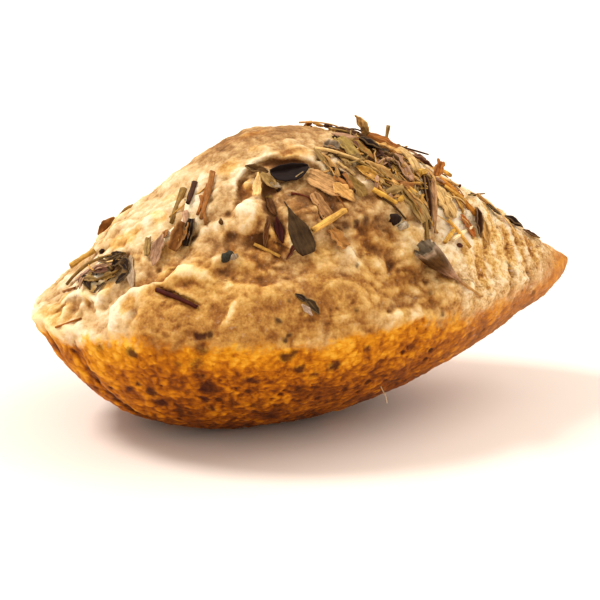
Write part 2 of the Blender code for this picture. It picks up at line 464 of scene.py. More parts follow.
def paint(points, over_rim):
    """How light and how golden the crumb is: most golden near the rim, least on the crown and towards the two ends."""
    x = points[:, 0]
    low_down = ramp(over_rim + 0.8 * bumps(points, 3.4, 31), 10.5, 2.5)
    golden = low_down * (1 - 0.8 * ramp(x, -14.5, -19.0)) * (1 - 0.6 * ramp(x, 6.0, 13.0))
    light = np.zeros(len(points))
    plan = warped(warped(points, 2.4, 0.5, 33), 0.8, 0.25, 34)
    for *patch, lighter, more_golden in PAINT:
        share = ramp(from_patch(plan, patch), 1.3, 0.5)
        light += lighter * share
        golden += more_golden * share
    # Across the hinge end the ridge crests are painted a little lighter and the troughs more golden: painted light and
    # shade that follow the ridges.
    hinge_end = ramp(over_rim, 0.5, 1.5) * ridges(points)
    return light + 0.12 * hinge_end, golden + 0.9 * np.maximum(-hinge_end, 0)


def mould_grooves(points):
    """1 in the middle of each groove that the mould left between two flutes."""
    from_hinge = 0.5 - points[:, 0] / LENGTH
    flute = GROOVE_SPREAD / (GROOVES - 1) * np.maximum(from_hinge, 0.001) ** 0.75
    place = points[:, 1] / flute + (GROOVES - 1) / 2
    share = np.abs(place - np.clip(np.round(place), 0, GROOVES - 1))
    return ramp(share * flute, 0.9, 0.1) * ramp(from_hinge, 0.2, 0.6)


def dark_marks(points):
    """How dark the baked spots and the herbs just under the surface make it."""
    dark = np.zeros(len(points))
    bent = warped(points, 0.7, 0.25, 35)
    for *place, size, amount in MARKS:
        nearest = np.argmin(np.linalg.norm(points - place, axis=1))
        apart = np.linalg.norm(bent - bent[nearest], axis=1) / size
        dark = np.maximum(dark, amount * ramp(apart, 1.5, 0.1))
    return dark


def neighbour_mean(values, edges, rounds):
    """The values, each replaced a few times by the mean of those around it."""
    count = np.bincount(edges.ravel(), minlength=len(values))[:, None]
    first, second = edges.T
    for _ in range(rounds):
        total = [
            np.bincount(first, column[second], len(values)) + np.bincount(second, column[first], len(values))
            for column in values.T
        ]
        values = np.array(total).T / count
    return values


def add_value(mesh, name, values):
    attribute = mesh.attributes.new(name, "FLOAT", "POINT")
    attribute.data.foreach_set("value", values.astype(np.float32))


def skin_mesh():
    mesh = base_surface()
    points = read(mesh.vertices, "co", 3)
    edges = read(mesh.edges, "vertices", 2, np.int32)
    normals = read(mesh.vertex_normals, "vector", 3)
    over_rim = points[:, 2] - (RIM_MIDDLE + RIM_SLOPE * points[:, 0])
    crust = crust_share(points, over_rim)
    broad = np.zeros(len(points))
    fine = np.zeros(len(points))
    push = np.zeros((len(points), 3))
    top, under = crust < 1, crust > 0
    for chosen, share, relief in ((top, 1 - crust, crumb_relief), (under, crust, crust_relief)):
        lumps, grit = relief(points[chosen])
        broad[chosen] += share[chosen] * lumps
        fine[chosen] += share[chosen] * grit
    on_hump = ramp(over_rim[top], 0.0, 1.2)
    fold_lift, fold_push, lip_highlight_mask = folds(points[top])
    broad[top] += on_hump * fold_lift
    push[top] = fold_push * on_hump[:, None]
    push[:, 2] -= tip_droop(points, over_rim)
    push[:, 0] += 0.2 * ramp(points[:, 0], 20.0, 24.0)
    push[:, 0] -= 0.6 * ramp(points[:, 0], -21.0, -23.8) * np.exp(-((over_rim / 1.6) ** 2))
    lip = np.zeros(len(points))
    lip[top] = lip_highlight_mask * on_hump
    moved = points + normals * (broad + fine)[:, None] + push
    moved[:, 2] = np.maximum(moved[:, 2], 0)
    # How far each point lies below the mean of its neighbours, used below to paint shade into the hollows.
    mean = neighbour_mean(moved, edges, 10 * (SUBDIVISIONS - 1) ** 2)
    hollow = ((mean - moved) * normals).sum(1)
    mesh.vertices.foreach_set("co", (moved * MM).ravel())
    light, golden = paint(points, over_rim)
    values = {
        "crust": crust,
        "over_rim": over_rim,
        "golden": golden,
        # tone: the crumb's lighter and darker patches, lighter on raised relief and darker in hollows and low places
        # (painted shade), with a painted highlight along the fold lips.
        "tone": light + 2.2 * fine - 2.6 * hollow + 0.6 * broad + 0.35 * lip,
        # crust_tone: lighter on raised relief and darker in hollows, pores and the mould's grooves (painted shade).
        "crust_tone": 1.0 * fine - 0.6 * hollow + 0.15 * broad - 0.1 * mould_grooves(points),
        "marks": dark_marks(moved),
    }
    for name, value in values.items():
        add_value(mesh, name, value)
    triangles = sum(len(p.vertices) - 2 for p in mesh.polygons)
    if triangles > SKIN_TRIANGLES:
        mesh = with_modifier(mesh, "DECIMATE", ratio=SKIN_TRIANGLES / triangles)
    mesh.name = "cake_skin"
    mesh.shade_smooth()
    return mesh


# ---------------------------------------------------------------- materials


class Material:
    """A node material, with short ways to add nodes to it."""

    def __init__(self, name):
        self.made = bpy.data.materials.new(name)
        self.made.use_nodes = True
        self.tree = self.made.node_tree
        self.shader = self.tree.nodes["Principled BSDF"]

    def put(self, socket, value):
        if isinstance(value, bpy.types.NodeSocket):
            self.tree.links.new(value, socket)
        elif isinstance(value, str):
            socket.default_value = linear(value)
        else:
            socket.default_value = value

    def node(self, kind, inputs=(), **settings):
        made = self.tree.nodes.new(kind)
        for key, value in settings.items():
            setattr(made, key, value)
        for key, value in dict(inputs).items():
            self.put(made.inputs[key], value)
        return made

    def attribute(self, name):
        return self.node("ShaderNodeAttribute", attribute_name=name)

    def place(self):
        """Where a point is, in millimetres."""
        where = self.node("ShaderNodeTexCoord").outputs["Object"]
        return self.node("ShaderNodeVectorMath", {0: where, "Scale": 1 / MM}, operation="SCALE").outputs[0]

    def noise(self, place, pitch, detail=2.0, rough=0.5, warp=0.0):
        inputs = {"Vector": place, "Scale": 1 / pitch, "Detail": detail, "Roughness": rough, "Distortion": warp}
        return self.node("ShaderNodeTexNoise", inputs).outputs["Fac"]

    def spread(self, value, low, high):
        """The value, stretched so that low becomes 0 and high becomes 1."""
        inputs = {"Value": value, "From Min": low, "From Max": high}
        return self.node("ShaderNodeMapRange", inputs, interpolation_type="SMOOTHSTEP").outputs["Result"]

    def maths(self, operation, *values):
        return self.node("ShaderNodeMath", dict(enumerate(values)), operation=operation).outputs[0]

    def total(self, *parts):
        """The sum of some values, each times a number."""
        result = 0.0
        for part, share in parts:
            result = self.node("ShaderNodeMath", {0: part, 1: share, 2: result}, operation="MULTIPLY_ADD").outputs[0]
        return result

    def ramp(self, factor, *stops):
        made = self.node("ShaderNodeValToRGB", {"Fac": factor})
        elements = made.color_ramp.elements
        while len(elements) < len(stops):
            elements.new(0.5)
        for element, (position, code) in zip(elements, stops):
            element.position = position
            element.color = linear(code)
        return made.outputs["Color"]

    def mix(self, factor, first, second, blend="MIX"):
        made = self.node("ShaderNodeMix", {0: factor, 6: first, 7: second}, data_type="RGBA", blend_type=blend)
        return made.outputs[2]

    def bump(self, height, distance, strength=1.0, under=None):
        inputs = {"Height": height, "Distance": distance * MM, "Strength": strength}
        if under is not None:
            inputs["Normal"] = under
        return self.node("ShaderNodeBump", inputs).outputs["Normal"]


def sponge_material():
    m = Material("baked_sponge")
    place = m.place()
    names = ("crust", "over_rim", "golden", "tone", "crust_tone", "marks")
    value = {name: m.attribute(name).outputs["Fac"] for name in names}

    speckle = m.maths("SUBTRACT", m.noise(place, 0.45, 5, 0.65), 0.5)
    blotch = m.maths("SUBTRACT", m.noise(place, 1.5, 3, 0.6, 0.4), 0.5)
    along = m.node("ShaderNodeSeparateXYZ", {"Vector": place}).outputs["X"]
    grit = m.maths("SUBTRACT", m.noise(place, 0.2, 3, 0.6), 0.5)
    gritty = m.maths("MULTIPLY", m.total((speckle, 1.8), (grit, 1.1)), m.total((m.spread(along, 8.0, 13.0), 1.0), (1.0, 0.65)))
    # How light the crumb is: the tone attribute, with its painted shade and painted highlights, plus speckle and
    # blotches.
    height = m.spread(m.total((value["tone"], 1.0), (gritty, 1.0), (blotch, 1.2)), -1.25, 1.15)
    pale = m.ramp(
        height, (0.0, "6e4724"), (0.25, "a87c4a"), (0.5, "cda873"), (0.75, "e2c497"), (1.0, "f6e5c4"),
    )
    golden = m.ramp(
        height, (0.0, "5c3414"), (0.25, "986029"), (0.5, "c08b43"), (0.75, "dcae64"), (1.0, "f3d8a0"),
    )
    patchy = m.maths("SUBTRACT", m.noise(place, 2.6, 4, 0.6, 0.5), 0.5)
    crumb = m.mix(m.spread(m.total((value["golden"], 1.0), (patchy, 2.2)), 0.0, 1.0), pale, golden)

    patches = m.noise(place, 2.2, 4, 0.6, 0.5)
    strands = m.node("ShaderNodeVectorMath", {0: place, 1: (0.6, 0.6, 1.2)}, operation="MULTIPLY").outputs[0]
    lace = m.maths("SUBTRACT", m.noise(strands, 0.42, 4, 0.65, 0.6), 0.5)
    lace = m.maths("MULTIPLY", lace, m.total((m.spread(along, -9.0, -15.0), -0.14), (1.0, 0.32)))
    low_down = m.spread(value["over_rim"], -1.0, -8.5)
    under_rim = m.spread(value["over_rim"], -3.2, -0.8)
    # The crust's tone: crust_tone brings the painted shade of its hollows and grooves.
    tone = m.total(
        (patches, 0.5), (lace, 1.0), (low_down, -0.07), (under_rim, 0.05), (value["golden"], -0.06),
        (value["crust_tone"], 1.0), (m.spread(along, 13.0, 20.0), -0.07),
    )
    crust = m.ramp(
        m.maths("ADD", tone, 0.28),
        (0.3, "4e2408"), (0.4, "864406"), (0.49, "b56808"), (0.58, "da8e14"), (0.7, "f2b83c"),
    )
    crust = m.mix(m.maths("MULTIPLY", m.spread(along, 6.0, 21.0), 0.5), crust, "c48448")
    spots = m.maths("MULTIPLY", m.spread(m.noise(place, 1.3, 3, 0.6, 0.6), 0.66, 0.74), 0.45)
    crust = m.mix(spots, crust, "4a2208")

    edge = m.spread(m.total((value["crust"], 1.0), (speckle, 1.6)), 0.1, 0.9)
    both = m.mix(edge, crumb, crust)
    specks = m.noise(place, 0.5, 3, 0.6)
    speckled = m.total((m.spread(along, 8.0, 13.0), 0.4), (edge, -0.3), (1.0, 0.12))
    both = m.mix(m.maths("MULTIPLY", m.spread(specks, 0.6, 0.72), speckled), both, "f0dac0")
    both = m.mix(m.maths("MULTIPLY", m.spread(specks, 0.4, 0.3), speckled), both, "7c4a26")
    marks = m.spread(m.total((value["marks"], 1.0), (speckle, 1.0)), 0.05, 0.8)
    m.put(m.shader.inputs["Base Color"], m.mix(m.maths("MULTIPLY", marks, 0.88), both, "36120a"))
    m.put(m.shader.inputs["Roughness"], m.maths("SUBTRACT", 0.8, m.maths("MULTIPLY", edge, 0.25)))
    m.put(m.shader.inputs["Specular IOR Level"], m.maths("SUBTRACT", 0.12, m.maths("MULTIPLY", edge, 0.05)))
    m.shader.inputs["Subsurface Weight"].default_value = 0.12
    m.shader.inputs["Subsurface Radius"].default_value = (1.0, 0.4, 0.1)
    m.shader.inputs["Subsurface Scale"].default_value = 0.8 * MM
    dust = m.bump(m.noise(place, 0.16, 4, 0.7), 0.06, 0.7)
    m.put(m.shader.inputs["Normal"], m.bump(m.noise(place, 0.42, 4, 0.7, 0.5), 0.16, 0.7, dust))
    return m.made


def herb_material(name, roughness, midrib):
    """A dried herb: each piece's own colour, in streaks along it, mottled, and pale along the edges."""
    m = Material(name)
    place = m.place()
    fibre = m.node("ShaderNodeSeparateXYZ", {"Vector": m.attribute("fibre").outputs["Vector"]}).outputs
    along, across, edge = fibre["X"], fibre["Y"], fibre["Z"]
    streak_at = {"X": m.maths("MULTIPLY", along, 0.5), "Y": m.maths("MULTIPLY", across, 5.0)}
    streaks = m.noise(m.node("ShaderNodeCombineXYZ", streak_at).outputs[0], 1.0, 3, 0.6)
    mottle = m.noise(place, 0.5, 4, 0.65)
    tone = m.maths("ADD", m.maths("MULTIPLY", streaks, 0.6), m.maths("MULTIPLY", mottle, 0.4))
    tint = m.attribute("tint").outputs["Color"]
    deep = m.mix(1.0, tint, (0.5, 0.41, 0.32, 1), "MULTIPLY")
    bright = m.mix(1.0, tint, (1.4, 1.34, 1.26, 1), "MULTIPLY")
    colour = m.mix(m.spread(tone, 0.34, 0.66), deep, bright)
    pale = m.maths("MULTIPLY", m.spread(edge, 0.84, 1.0), 0.16)
    rib = m.maths("MULTIPLY", m.spread(edge, 0.14, 0.03), midrib)
    colour = m.mix(m.maths("MAXIMUM", pale, rib), colour, "d9ae70")
    m.put(m.shader.inputs["Base Color"], colour)
    m.shader.inputs["Roughness"].default_value = roughness
    m.shader.inputs["Specular IOR Level"].default_value = 0.14
    m.put(m.shader.inputs["Normal"], m.bump(tone, 0.12, 0.7))
    return m.made


# ---------------------------------------------------------------- dried herbs


class Pieces:
    """One mesh that gathers all the loose things of one kind."""

    def __init__(self, name, material):
        self.name, self.material = name, material
        self.points, self.faces, self.tints, self.fibres = [], [], [], []

    def add(self, points, faces, tints, fibres):
        """Adds a piece, with its colour or those of its points.

        fibres gives each point its place along and across the piece, and how near the edge it is.
        """
        start = len(self.points)
        self.points += [tuple(p) for p in points]
        self.faces += [tuple(start + i for i in face) for face in faces]
        self.tints += tints if isinstance(tints[0], list) else [tints] * len(points)
        self.fibres += [(along, across + start * 0.37, edge) for along, across, edge in fibres]

    def finish(self):
        mesh = bpy.data.meshes.new(self.name)
        mesh.from_pydata([tuple(c * MM for c in p) for p in self.points], [], self.faces)
        tint = mesh.attributes.new("tint", "FLOAT_COLOR", "POINT")
        tint.data.foreach_set("color", np.array(self.tints, np.float32).ravel())
        fibre = mesh.attributes.new("fibre", "FLOAT_VECTOR", "POINT")
        fibre.data.foreach_set("vector", np.array(self.fibres, np.float32).ravel())
        mesh.materials.append(self.material)
        mesh.shade_smooth()
        mesh.update()
        made = bpy.data.objects.new(self.name, mesh)
        bpy.context.scene.collection.objects.link(made)
        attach(made, "root")
        return made


def grid_faces(rows, columns, start=0, flip=False):
    faces = []
    for i in range(rows - 1):
        for j in range(columns - 1):
            a = start + i * columns + j
            face = (a, a + columns, a + columns + 1, a + 1)
            faces.append(face[::-1] if flip else face)
    return faces


def add_flake(kind, grid, thickness, tint, fibres):
    """A closed flake of even thickness over a grid of points."""
    grid = np.array(grid)
    rows, columns = grid.shape[:2]
    along = np.gradient(grid, axis=0)
    across = np.gradient(grid, axis=1)
    normal = unit(np.cross(along, across))
    top = (grid + normal * thickness / 2).reshape(-1, 3)
    bottom = (grid - normal * thickness / 2).reshape(-1, 3)
    count = rows * columns
    faces = grid_faces(rows, columns) + grid_faces(rows, columns, count, True)
    border = [j for j in range(columns)]
    border += [i * columns + columns - 1 for i in range(1, rows)]
    border += [(rows - 1) * columns + j for j in range(columns - 2, -1, -1)]
    border += [i * columns for i in range(rows - 2, 0, -1)]
    for a, b in zip(border, border[1:] + border[:1]):
        faces.append((a, b, b + count, a + count))
    kind.add(np.vstack([top, bottom]), faces, tint, fibres * 2)


def add_stick(kind, path, radii, tints, sides=8, hollow=0.0, flatness=1.0, ribs=3):
    """A stick along a path, with a flat or hollow end, in one colour or one for each step and end."""
    path = np.array(path)
    way = unit(np.gradient(path, axis=0))
    side = unit(np.cross(way[0], (0.31, 0.17, 0.93)))
    points, fibres = [], []
    passed = 0.0
    for i, (point, forward, radius) in enumerate(zip(path, way, radii)):
        side = unit(side - forward * (side @ forward))
        other = np.cross(forward, side) * flatness
        passed += np.linalg.norm(point - path[i - 1]) if i else 0
        for k in range(sides):
            turn = 2 * math.pi * k / sides
            uneven = 1 + 0.14 * math.sin(ribs * turn + path[0][0]) + 0.1 * math.sin(2 * turn + 2)
            points.append(point + radius * uneven * (math.cos(turn) * side + math.sin(turn) * other))
            fibres.append((passed, abs(turn / math.pi - 1) * 1.2, 0.5))
    faces = []
    for i in range(len(path) - 1):
        for k in range(sides):
            a, b = i * sides + k, i * sides + (k + 1) % sides
            faces.append((a, b, b + sides, a + sides))
    for start, forward, flip in ((0, way[0], True), ((len(path) - 1) * sides, -way[-1], False)):
        points.append(np.mean(points[start : start + sides], axis=0) + forward * hollow)
        fibres.append((fibres[start][0], 0, 0.5))
        for k in range(sides):
            face = (start + k, start + (k + 1) % sides, len(points) - 1)
            faces.append(face[::-1] if flip else face)
    if isinstance(tints[0], list):
        tints = [tint for tint in tints[:-2] for _ in range(sides)] + tints[-2:]
    kind.add(points, faces, tints, fibres)


def add_grain(kind, centre, sizes, tint, draw):
    """A small rough lump."""
    bm = bmesh.new()
    bmesh.ops.create_icosphere(bm, subdivisions=2, radius=1)
    turn = Matrix.Rotation(draw.uniform(0, 6.28), 3, Vector([draw.uniform(-1, 1) for _ in range(3)]).normalized())
    shift = Vector([draw.uniform(-50, 50) for _ in range(3)])
    points, fibres = [], []
    for vert in bm.verts:
        swollen = vert.co * (1 + 0.7 * noise.noise(vert.co * 1.1 + shift))
        scaled = Vector([a * b for a, b in zip(swollen, sizes)])
        points.append(turn @ scaled + Vector(centre))
        fibres.append((scaled.x, scaled.y, 0.5))
    kind.add(points, [[v.index for v in face.verts] for face in bm.faces], tint, fibres)
    bm.free()


class Skin:
    """The finished surface of the cake, to lay things on."""

    def __init__(self, mesh):
        points = read(mesh.vertices, "co", 3) / MM
        faces = [tuple(p.vertices) for p in mesh.polygons]
        self.tree = BVHTree.FromPolygons(points.tolist(), faces)

    def below(self, x, y):
        """The point of the hump at x, y, and its normal."""
        place, normal, _, _ = self.tree.ray_cast(Vector((x, y, 60)), Vector((0, 0, -1)))
        if place is None:
            return self.nearest((x, y, RIM_MIDDLE + 1))
        return np.array(place), np.array(normal)

    def broad_normal(self, x, y):
        """The normal of the hump at x, y, without its small relief."""
        total = np.zeros(3)
        for dx, dy in ((0, 0), (1.2, 0), (-1.2, 0), (0, 1.2), (0, -1.2)):
            total += self.below(x + dx, y + dy)[1]
        return unit(total)

    def clear(self, point, gap):
        """The point, moved out where it is nearer to the skin than the gap."""
        place, normal = self.nearest(point)
        return point + normal * max(gap - (point - place) @ normal, 0)

    def nearest(self, point):
        place, normal, _, _ = self.tree.find_nearest(Vector(point))
        return np.array(place), np.array(normal)


def leaf_outline(share, leaf):
    """How wide a leaf is at a share of its length; blunt is how wide each of its ends stays."""
    near = min(share / leaf.widest + leaf.blunt[0], 1)
    far = min((1 - share) / (1 - leaf.widest) + leaf.blunt[1], 1)
    return math.sin(math.pi / 2 * near) ** (0.8 + leaf.waist) * math.sin(math.pi / 2 * far) ** 0.8


def standing(skin, start, end, lifts):
    """The two ends of a piece, each lifted off the skin."""
    return [skin.below(*at)[0] + skin.broad_normal(*at) * lift for at, lift in zip((start, end), lifts)]


def lay_leaf(kind, skin, leaf, tint, draw, rows=15, columns=9):
    """A leaf flake from one place on the hump to another."""
    first, last = standing(skin, leaf.start, leaf.end, leaf.lifts)
    middle = (first + last) / 2
    normal = skin.broad_normal(middle[0], middle[1])
    along = last - first
    length = np.linalg.norm(along)
    across = unit(np.cross(normal, along))
    up = unit(np.cross(along, across))
    shift = draw.uniform(0, 50)
    grid, fibres = [], []
    for i in range(rows):
        share = i / (rows - 1)
        half = max(leaf.width / 2 * leaf_outline(share, leaf), 0.05)
        turn = leaf.tilt + leaf.twist * (share - 0.5)
        row = []
        for j in range(columns):
            s = 2 * j / (columns - 1) - 1
            out = s * half * (1 + 0.35 * leaf.ragged * noise.noise(Vector((share * 5, s, shift))))
            out *= 1 + 0.2 * leaf.ragged * noise.noise(Vector((share * 14, s * 2, shift + 4)))
            out *= 1 - leaf.lopsided * (s > 0)
            rise = leaf.cup * half * (abs(s) ** 1.4 - 0.4) + leaf.arch * length * (0.25 - (share - 0.5) ** 2) * 4
            rise += 0.4 * leaf.ragged * half * noise.noise(Vector((share * 6, s * 2, shift + 9)))
            flat = first + along * share + across * (out * math.cos(turn) - rise * math.sin(turn))
            lift = leaf.lifts[0] + (leaf.lifts[1] - leaf.lifts[0]) * share
            level = (flat - skin.nearest(flat)[0]) @ up
            rise = rise * math.cos(turn) + out * math.sin(turn) + 0.5 * (lift - level)
            row.append(skin.clear(flat + up * rise, 0.08))
            fibres.append((share * length, s * half, abs(s) * leaf.ragged + 0.4 * (1 - leaf.ragged)))
        grid.append(row)
    add_flake(kind, grid, 0.1, tint, fibres)


def lay_stick(kind, skin, stalk, tint, sides=8, steps=9, hollow=0.1):
    """A stalk or needle from one place on the hump to another."""
    first, last = standing(skin, stalk.start, stalk.end, stalk.lifts)
    middle = (first + last) / 2
    normal = skin.broad_normal(middle[0], middle[1])
    across = unit(np.cross(normal, last - first))
    path, radii = [], []
    for i in range(steps):
        share = i / (steps - 1)
        arc = 4 * share * (1 - share)
        path.append(first * (1 - share) + last * share + (normal * abs(stalk.bow) + across * stalk.bow) * arc)
        uneven = 1 + 0.1 * math.sin(9 * share + stalk.start[0])
        radii.append(stalk.width / 2 * (1 - (1 - stalk.taper) * share) * uneven)
    add_stick(kind, path, radii, tint, sides, hollow, 0.8)


def lay_calyx(kind, skin):
    """The long dried calyx that opens like a trumpet, near the hinge end."""
    mouth, throat, tail = (skin.below(x, y)[0] + skin.broad_normal(x, y) * lift for x, y, lift in CALYX)
    rim, body, side, stem = (np.array(linear(code)) for code in ("80705a", DARK_OLIVE, MAUVE, TAN))
    path, radii, tints = [], [], []
    for i in range(25):
        share = i / 24
        before = (1 - share) ** 2 * mouth + 2 * share * (1 - share) * throat + share**2 * tail
        path.append(before)
        cone = max(1 - share / 0.56, 0)
        radii.append(0.13 + 0.14 * (1 - share) + 0.84 * math.sin(math.pi / 2 * min(cone * 1.1, 1)) ** 1.1)
        colour = rim + (body - rim) * ramp(share, 0.02, 0.12)
        colour = colour + (side - colour) * ramp(share, 0.25, 0.5)
        tints.append(list(colour + (stem - colour) * ramp(share, 0.5, 0.8)))
    first = len(kind.points)
    # The cap deep inside the mouth is near-black: painted shade inside the trumpet.
    add_stick(kind, path, radii, tints + [linear(BLACK_OLIVE), tints[-1]], 20, 1.8, 0.8, 7)
    # The side of the calyx that faces up and the ring next to the mouth's edge are painted paler: a painted highlight.
    painted_highlight = np.array(linear("c4a890"))
    for i in range(20 * len(path)):
        out = unit(np.array(kind.points[first + i]) - path[i // 20])
        share = 0.75 * ramp(out @ (0.45, 0.1, 0.88), 0.3, 0.95) * (i >= 20) + 0.5 * (20 <= i < 40)
        kind.tints[first + i] = list(np.array(kind.tints[first + i]) * (1 - share) + painted_highlight * share)


# Colours of the dried herbs.
BLACK_OLIVE = "26160b"
DARK_OLIVE = "523716"
OLIVE = "8e6e34"
GREY_GREEN = "927644"
SLATE = "8c7c68"
MAUVE = "aa8468"
PLUM = "593628"
DARK_BROWN = "46260e"
BROWN = "96622e"
RUSTY = "a0601e"
TAN = "c29656"
STRAW = "cc9c46"
PALE_STRAW = "dcb878"
YELLOW = "cda044"

Leaf = namedtuple(
    "Leaf", "start end width colour lifts cup arch widest blunt tilt twist lopsided waist ragged",
    defaults=((0.25, 0.3), 0.6, 0.0, 0.5, (0.0, 0.0), 0.0, 0.0, 0.0, 0.0, 1.0),
)
Stalk = namedtuple("Stalk", "start end width colour lifts bow taper", defaults=((0.25, 0.3), 0.0, 0.85))

